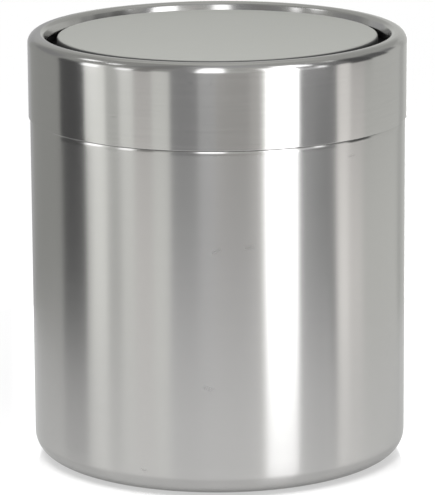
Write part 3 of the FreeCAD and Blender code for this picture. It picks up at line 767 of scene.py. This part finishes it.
def screw_mesh(size, x, y, seat, tip):
    """A screw along Z: a domed head with a cross recess below its seat, and a threaded shank above.

    The head's face is z = rim + dome (1 - (r / R)^2), sunk by the recess where |u| < w or |v| < w near
    its middle. The shank's radius swings with height minus angle, which draws one thread.
    """
    columns = 96
    head, low = size.screw_head, seat - size.screw_head_height
    dome, recess = 0.35 * size.screw_head_height, 0.5 * size.screw_head_height
    turn = np.linspace(0, 2 * math.pi, columns, endpoint=False)
    face_r = np.linspace(0.02, 0.94, 26)[:, None] * head
    face_z = low + dome * (face_r / head) ** 2
    u, v = face_r * np.cos(turn), face_r * np.sin(turn)
    arm, width = 0.55 * head, 0.16 * head
    cross = (np.abs(u) < width) & (np.abs(v) < arm) | (np.abs(v) < width) & (np.abs(u) < arm)
    face_z = face_z + cross * recess
    side_r = head * np.array([0.985, 1.0, 1.0, 0.99])[:, None]
    side_z = np.array([low + dome + 0.06 * MM, low + dome + 0.2 * MM, seat - 0.05 * MM, seat])[:, None]
    pitch, rows = 0.9 * MM, 60
    along = np.linspace(0, 1, rows)[:, None]
    shank_z = seat + (tip - seat) * along
    thread = 0.5 - 0.5 * np.cos(2 * math.pi * (shank_z - seat) / pitch - turn)
    taper = np.clip((tip - shank_z) / (1.2 * MM), 0.35, 1)
    shank_r = size.screw_radius * (0.8 + 0.2 * thread) * taper
    flat = np.zeros((1, columns))
    radius = np.concatenate([face_r + flat, side_r + flat, shank_r + flat])
    height = np.concatenate([face_z + flat, side_z + flat, shank_z + flat])
    points = np.stack([x + radius * np.cos(turn), y + radius * np.sin(turn), height], 2).reshape(-1, 3)
    ends = [[x, y, low + recess], [x, y, tip]]
    return np.concatenate([points, ends]), ring_faces(len(radius), columns, False, True)


class BIN_OT_screws(Operator):
    """Makes the screws of the plate and of the bar"""

    bl_idname = "bin.screws"
    bl_label = "Screws"

    def execute(self, context):
        size = context.scene.bin_sizes
        material = milled_steel("screw_steel", context.scene.bin_finish.screw, roughness=0.3)
        reach = LID_SCREWS_HIGH.x - size.screw_head
        across = WEIGHT_SCREWS_HIGH.x - size.screw_head
        groups = (
            ("flap_screw", "flap_screws", LID_SCREWS_LOW.z, LID_SCREWS_HIGH.z,
             [(reach, reach), (-reach, reach), (-reach, -reach), (reach, -reach)]),
            ("counterweight_screw", "counterweight_screws", WEIGHT_SCREWS_LOW.z, WEIGHT_SCREWS_HIGH.z,
             [(across, 0.0), (-across, 0.0)]),
        )
        for name, node, low, tip, places in groups:
            for number, (x, y) in enumerate(places, start=1):
                mesh = screw_mesh(size, x, y, low + size.screw_head_height, tip)
                dress(put_mesh(f"{name}_{number}", *mesh), material, "flap", "screw_steel", node)
        return {"FINISHED"}


class BIN_OT_pivots(Operator):
    """Gives the frame, bushes, pins and washers their finishes"""

    bl_idname = "bin.pivots"
    bl_label = "Frame and pivots"

    def execute(self, context):
        finish = context.scene.bin_finish
        waxy_grain = {"roughness": 0.4, "grain": 900.0, "depth": 0.01 * MM}
        dark = grained_plastic("frame_plastic", finish.frame, roughness=0.5, grain=1600.0, depth=0.03 * MM)
        waxy = grained_plastic("bush_plastic", finish.bush, **waxy_grain)
        ground = milled_steel("pin_steel", finish.pin, roughness=0.25)
        washer = grained_plastic("washer_plastic", shaded(finish.frame, 1.6), **waxy_grain)
        cover_node("inner_frame", dark)
        for word in ("left", "right"):
            cover_node(f"pivot_bush_{word}", waxy)
            cover_node(f"pivot_pin_{word}", ground)
            cover_node(f"spacer_washer_{word}", washer)
        return {"FINISHED"}


# Faint tints of the panels of the light tent.
COOL, STRAW, SAND = (0.998, 1.0, 1.01), (0.992, 1.0, 0.965), (1.022, 1.0, 0.975)

# Panels of the light tent: name, tint, azimuth from and to in degrees, 0 towards the camera and positive to
# its right, lower and upper edge in metres up the wall and on over the roof, glow, and the softness of the
# upper edge in metres. A later panel lies over an earlier one.
PANELS = (
    ("back", STRAW, -180.0, 180.0, 0.0, 0.63, 0.9, 0.01),
    ("back, left", COOL, -165.0, -140.0, 0.0, 0.2, 0.66, 0.05),
    ("back window, left", COOL, -172.0, -158.0, 0.0, 0.12, 1.7, 0.02),
    ("back shade, middle", STRAW, -180.0, -172.0, 0.0, 0.12, 0.62, 0.02),
    ("back key", COOL, 152.0, 168.0, 0.0, 0.12, 3.4, 0.02),
    ("back shade, right", COOL, 168.0, 180.0, 0.0, 0.12, 0.5, 0.02),
    ("back, high", STRAW, -180.0, 180.0, 0.2, 0.42, 0.74, 0.05),
    ("left wall", STRAW, -140.0, -25.0, 0.0, 0.42, 0.57, 0.01),
    ("left flag", COOL, -96.2, -75.4, 0.0, 0.185, 0.14, 0.03),
    ("left wall, high", STRAW, -125.0, -55.0, 0.26, 0.6, 0.55, 0.04),
    ("left wall, high and near", COOL, -55.0, -25.0, 0.26, 0.6, 0.42, 0.04),
    ("left beam", COOL, -132.0, -100.0, 0.175, 0.25, 0.44, 0.04),
    ("left window", STRAW, -75.4, -61.0, 0.0, 0.2, 1.58, 0.03),
    ("left window, edge", STRAW, -75.4, -71.5, 0.0, 0.08, 1.25, 0.04),
    ("left window, top light", COOL, -76.5, -65.5, 0.13, 0.19, 3.1, 0.02),
    ("curtain", STRAW, -61.0, -52.6, 0.0, 0.2, 0.9, 0.04),
    ("second window", STRAW, -52.6, -43.9, 0.0, 0.19, 1.32, 0.03),
    ("second window, top light", COOL, -54.0, -45.5, 0.135, 0.185, 2.6, 0.02),
    ("left lamp, far", COOL, -97.0, -84.0, 0.28, 0.34, 3.2, 0.03),
    ("left lamp, near", COOL, -72.5, -64.5, 0.28, 0.335, 3.0, 0.03),
    ("wall between, low", SAND, -43.9, -34.2, 0.0, 0.14, 0.95, 0.02),
    ("wall between, foot", SAND, -43.9, -34.2, 0.0, 0.07, 1.22, 0.04),
    ("wall between, high", SAND, -43.9, -34.2, 0.14, 0.5, 0.4, 0.04),
    ("third window", STRAW, -34.2, -24.4, 0.0, 0.17, 1.2, 0.03),
    ("third window, foot", STRAW, -34.2, -24.4, 0.0, 0.07, 1.38, 0.04),
    ("front roof", COOL, -25.0, 45.0, 0.42, 0.6, 0.68, 0.04),
    ("shade by the camera", COOL, -24.4, -9.8, 0.0, 0.42, 0.46, 0.04),
    ("lamp over the camera", COOL, -11.0, 3.5, 0.16, 0.42, 3.4, 0.14),
    ("under that lamp", COOL, -9.8, -1.3, 0.0, 0.15, 0.72, 0.01),
    ("right of the camera", SAND, -1.3, 16.3, 0.0, 0.15, 0.66, 0.02),
    ("edge of the key", SAND, 16.3, 22.3, 0.0, 0.4, 0.8, 0.1),
    ("table's edge, front", COOL, -26.0, 20.0, 0.0, 0.04, 1.02, 0.05),
    ("right roof", STRAW, 45.0, 125.0, 0.42, 0.6, 0.68, 0.04),
    ("right wall, high", STRAW, 56.0, 148.0, 0.2, 0.42, 0.66, 0.02),
    ("key's soft edge", STRAW, 22.3, 24.7, 0.0, 0.3, 1.6, 0.1),
    ("key", COOL, 24.7, 42.2, 0.0, 0.26, 4.6, 0.1),
    ("right shade", COOL, 42.2, 65.4, 0.0, 0.42, 0.43, 0.02),
    ("right shade, near the key", COOL, 44.0, 52.0, 0.0, 0.42, 0.52, 0.02),
    ("key's spill", COOL, 42.2, 54.0, 0.135, 0.175, 1.1, 0.03),
    ("key, high", COOL, 35.0, 55.0, 0.24, 0.37, 4.2, 0.1),
    ("table's edge, right", COOL, 44.0, 63.0, 0.0, 0.025, 1.0, 0.04),
    ("right window", SAND, 65.4, 75.0, 0.0, 0.2, 1.42, 0.06),
    ("right window, foot", SAND, 65.4, 75.0, 0.0, 0.07, 1.84, 0.04),
    ("right window, edge", COOL, 62.0, 66.4, 0.0, 0.08, 0.43, 0.04),
    ("right wall, near", SAND, 75.0, 86.0, 0.0, 0.2, 1.06, 0.06),
    ("right wall, near, foot", SAND, 75.0, 86.0, 0.0, 0.07, 1.36, 0.04),
    ("right wall", STRAW, 86.0, 127.0, 0.0, 0.2, 0.95, 0.04),
    ("right wall, foot", STRAW, 86.0, 127.0, 0.0, 0.07, 1.1, 0.04),
    ("door frame", STRAW, 127.0, 136.0, 0.0, 0.2, 0.78, 0.02),
    ("right beam, near", COOL, 60.0, 74.0, 0.155, 0.26, 0.34, 0.06),
    ("right beam", COOL, 74.0, 92.0, 0.125, 0.3, 0.15, 0.1),
    ("right beam, far", COOL, 92.0, 109.0, 0.15, 0.26, 0.2, 0.06),
    ("right beam, end", COOL, 109.0, 122.0, 0.175, 0.225, 0.36, 0.04),
    ("high lamp", COOL, 53.0, 58.5, 0.145, 0.19, 2.7, 0.03),
    ("high lamp, far", COOL, 75.0, 80.0, 0.29, 0.34, 1.8, 0.03),
)

# Fade of a panel's sides in degrees and of its lower edge in metres, and the tent's steps round and up.
SIDE_FADE, LOWER_FADE = 1.0, 0.01
TENT_COLUMNS, TENT_ROWS = 1080, 110


def tent_glow(azimuth, run):
    """Colour of the tent's glow: each panel's tint and glow inside its edges, laid over what is there.

    A panel fades to nothing over a degree at its sides, over a centimetre at its lower edge and over its
    softness at its upper edge.
    """
    glow = np.ones((*np.broadcast(azimuth, run).shape, 4))
    for _, tint, start, end, low, high, level, soft in PANELS:
        sides = (np.clip((azimuth - start) / SIDE_FADE + 0.5, 0, 1)
                 * np.clip((end - azimuth) / SIDE_FADE + 0.5, 0, 1))
        rise = np.clip((run - low) / LOWER_FADE + 0.5, 0, 1) if low > 0 else 1.0
        fall = np.clip((high - run) / soft + 0.5, 0, 1)
        share_here = (sides * rise * fall)[..., None]
        glow += share_here * (np.array([*tint, 1.0]) * [level, level, level, 1.0] - glow)
    return glow


def tent_mesh(studio):
    """The light tent as a grid that faces inwards, with its glow at each point: a wall, then a flat roof.

    The run is the way up the wall, at r = tent_radius, and then inwards along the roof, at z = tent_height.
    """
    margin = 0.5 * MM
    radius, top = studio.tent_radius, studio.tent_height
    azimuth = np.linspace(-180, 180, TENT_COLUMNS, endpoint=False)[None]
    run = np.linspace(margin, top + radius - margin, TENT_ROWS)[:, None]
    reach = radius - np.clip(run - top, 0, None)
    height = np.minimum(run, top) + np.zeros((1, TENT_COLUMNS))
    angle = np.radians(azimuth)
    points = np.stack([reach * np.sin(angle), -reach * np.cos(angle), height], 2)
    faces = np.array(ring_faces(TENT_ROWS, TENT_COLUMNS, False, False))[:, ::-1]
    return points.reshape(-1, 3), faces.tolist(), tent_glow(azimuth, run).ravel()


class BIN_OT_studio(Operator):
    """Sets up the camera, the pale floor, the overhead softbox, the even sky and the reflecting panels"""

    bl_idname = "bin.studio"
    bl_label = "Studio"

    def execute(self, context):
        scene = context.scene
        studio = scene.bin_studio
        self.place_camera(scene, studio)
        self.lay_floor(studio)
        self.hang_lamp(scene, studio)
        self.light_sky(scene, studio)
        self.raise_tent(studio)
        scene.view_settings.view_transform = "Standard"
        return {"FINISHED"}

    def place_camera(self, scene, studio):
        """Puts the camera where the photograph's stood."""
        data = bpy.data.cameras.new("camera")
        data.sensor_fit = "VERTICAL"
        data.sensor_height = data.sensor_width = SENSOR
        data.lens = studio.focal_pixels * SENSOR / PHOTO_HEIGHT
        data.clip_start, data.clip_end = 0.01, 100.0
        camera = bpy.data.objects.new("camera", data)
        look = Matrix.Rotation(math.pi / 2 - studio.tilt, 4, "X") @ Matrix.Rotation(studio.roll, 4, "Z")
        camera.matrix_world = Matrix.Translation(studio.camera) @ look
        scene.collection.objects.link(camera)
        scene.camera = camera

    def lay_floor(self, studio):
        """Lays a pale floor that keeps the bin's shadow and is white to the camera elsewhere."""
        half, low = FLOOR_HALF, -FLOOR_DROP
        points = np.array([[-half, -half, low], [half, -half, low], [half, half, low], [-half, half, low]])
        floor = put_mesh("floor", points, [[0, 1, 2, 3]])
        tree = new_finish("floor_card")
        card = tree.node("ShaderNodeBsdfPrincipled", {},
                         {"Base Color": (*studio.floor, 1), "Roughness": FLOOR_ROUGHNESS,
                          "IOR": FLOOR_IOR})
        glow = tree.node("ShaderNodeEmission", {},
                         {"Color": WHITE, "Strength": tree.seen() * studio.floor_glow})
        lit = tree.node("ShaderNodeAddShader", {}, {0: card, 1: glow})
        floor.data.materials.append(tree.finish(self.one_sided(tree, lit)))

    def one_sided(self, tree, surface):
        """A surface that is clear from behind."""
        behind = tree.node("ShaderNodeNewGeometry", output="Backfacing")
        clear = tree.node("ShaderNodeBsdfTransparent")
        return tree.node("ShaderNodeMixShader", {}, {0: behind, 1: surface, 2: clear})

    def hang_lamp(self, scene, studio):
        """Hangs the softbox over the front of the bin. Reflections don't see it."""
        data = bpy.data.lights.new("softbox", "AREA")
        data.shape = "DISK"
        data.size = LAMP_WIDTH
        data.energy = studio.lamp
        lamp = bpy.data.objects.new("softbox", data)
        lamp.matrix_world = Matrix.Translation(LAMP_PLACE) @ Matrix.Rotation(LAMP_LEAN, 4, "X")
        lamp.visible_glossy = False
        lamp.visible_camera = False
        scene.collection.objects.link(lamp)

    def light_sky(self, scene, studio):
        """Lights all round evenly, from a sky that is white where it is seen."""
        scene.world = scene.world or bpy.data.worlds.new("sky")
        tree = NodeTree(scene.world, "ShaderNodeOutputWorld")
        level = studio.sky + tree.seen() * (1 - studio.sky)
        tree.finish(tree.node("ShaderNodeBackground", {}, {"Color": WHITE, "Strength": level}))

    def raise_tent(self, studio):
        """Puts up the light tent, which glows on its inner side and which reflections alone see."""
        points, faces, glow = tent_mesh(studio)
        tent = put_mesh("tent", points, faces)
        tent.data.attributes.new("glow", "FLOAT_COLOR", "POINT").data.foreach_set("color", glow)
        tree = new_finish("tent_panels")
        colour = tree.node("ShaderNodeAttribute", {"attribute_name": "glow"}, output="Color")
        panels = tree.node("ShaderNodeEmission", {}, {"Color": colour, "Strength": 1.0})
        tent.data.materials.append(tree.finish(self.one_sided(tree, panels)))
        for ray in ("camera", "diffuse", "shadow", "transmission"):
            setattr(tent, f"visible_{ray}", False)


class BIN_PT_pieces(Panel):
    """Lists the pieces in the order in which they are made"""

    bl_idname = "BIN_PT_pieces"
    bl_label = "Swing-lid bin"
    bl_space_type = "VIEW_3D"
    bl_region_type = "UI"
    bl_category = "Bin"

    def draw(self, context):
        for operator in OPERATORS:
            self.layout.operator(operator.bl_idname)
        for group in (context.scene.bin_sizes, context.scene.bin_finish, context.scene.bin_studio):
            column = self.layout.column(align=True)
            for name in group.__annotations__:
                column.prop(group, name)


GROUPS = {"bin_sizes": BinSizes, "bin_finish": BinFinish, "bin_studio": BinStudio}
OPERATORS = (BIN_OT_can, BIN_OT_pad, BIN_OT_collar, BIN_OT_lid, BIN_OT_plate, BIN_OT_weight, BIN_OT_screws,
             BIN_OT_pivots, BIN_OT_studio)


def register():
    """Adds the classes to Blender, and the groups to its scenes."""
    for made in (*GROUPS.values(), *OPERATORS, BIN_PT_pieces):
        bpy.utils.register_class(made)
    for name, group in GROUPS.items():
        setattr(bpy.types.Scene, name, PointerProperty(type=group))


def unregister():
    """Takes them out again."""
    for name in GROUPS:
        delattr(bpy.types.Scene, name)
    for made in (BIN_PT_pieces, *reversed(OPERATORS), *reversed(GROUPS.values())):
        bpy.utils.unregister_class(made)


def main():
    """Registers the classes, and makes the pieces in order."""
    register()
    for operator in OPERATORS:
        group, name = operator.bl_idname.split(".")
        getattr(getattr(bpy.ops, group), name)()


if __name__ == "__main__":
    main()
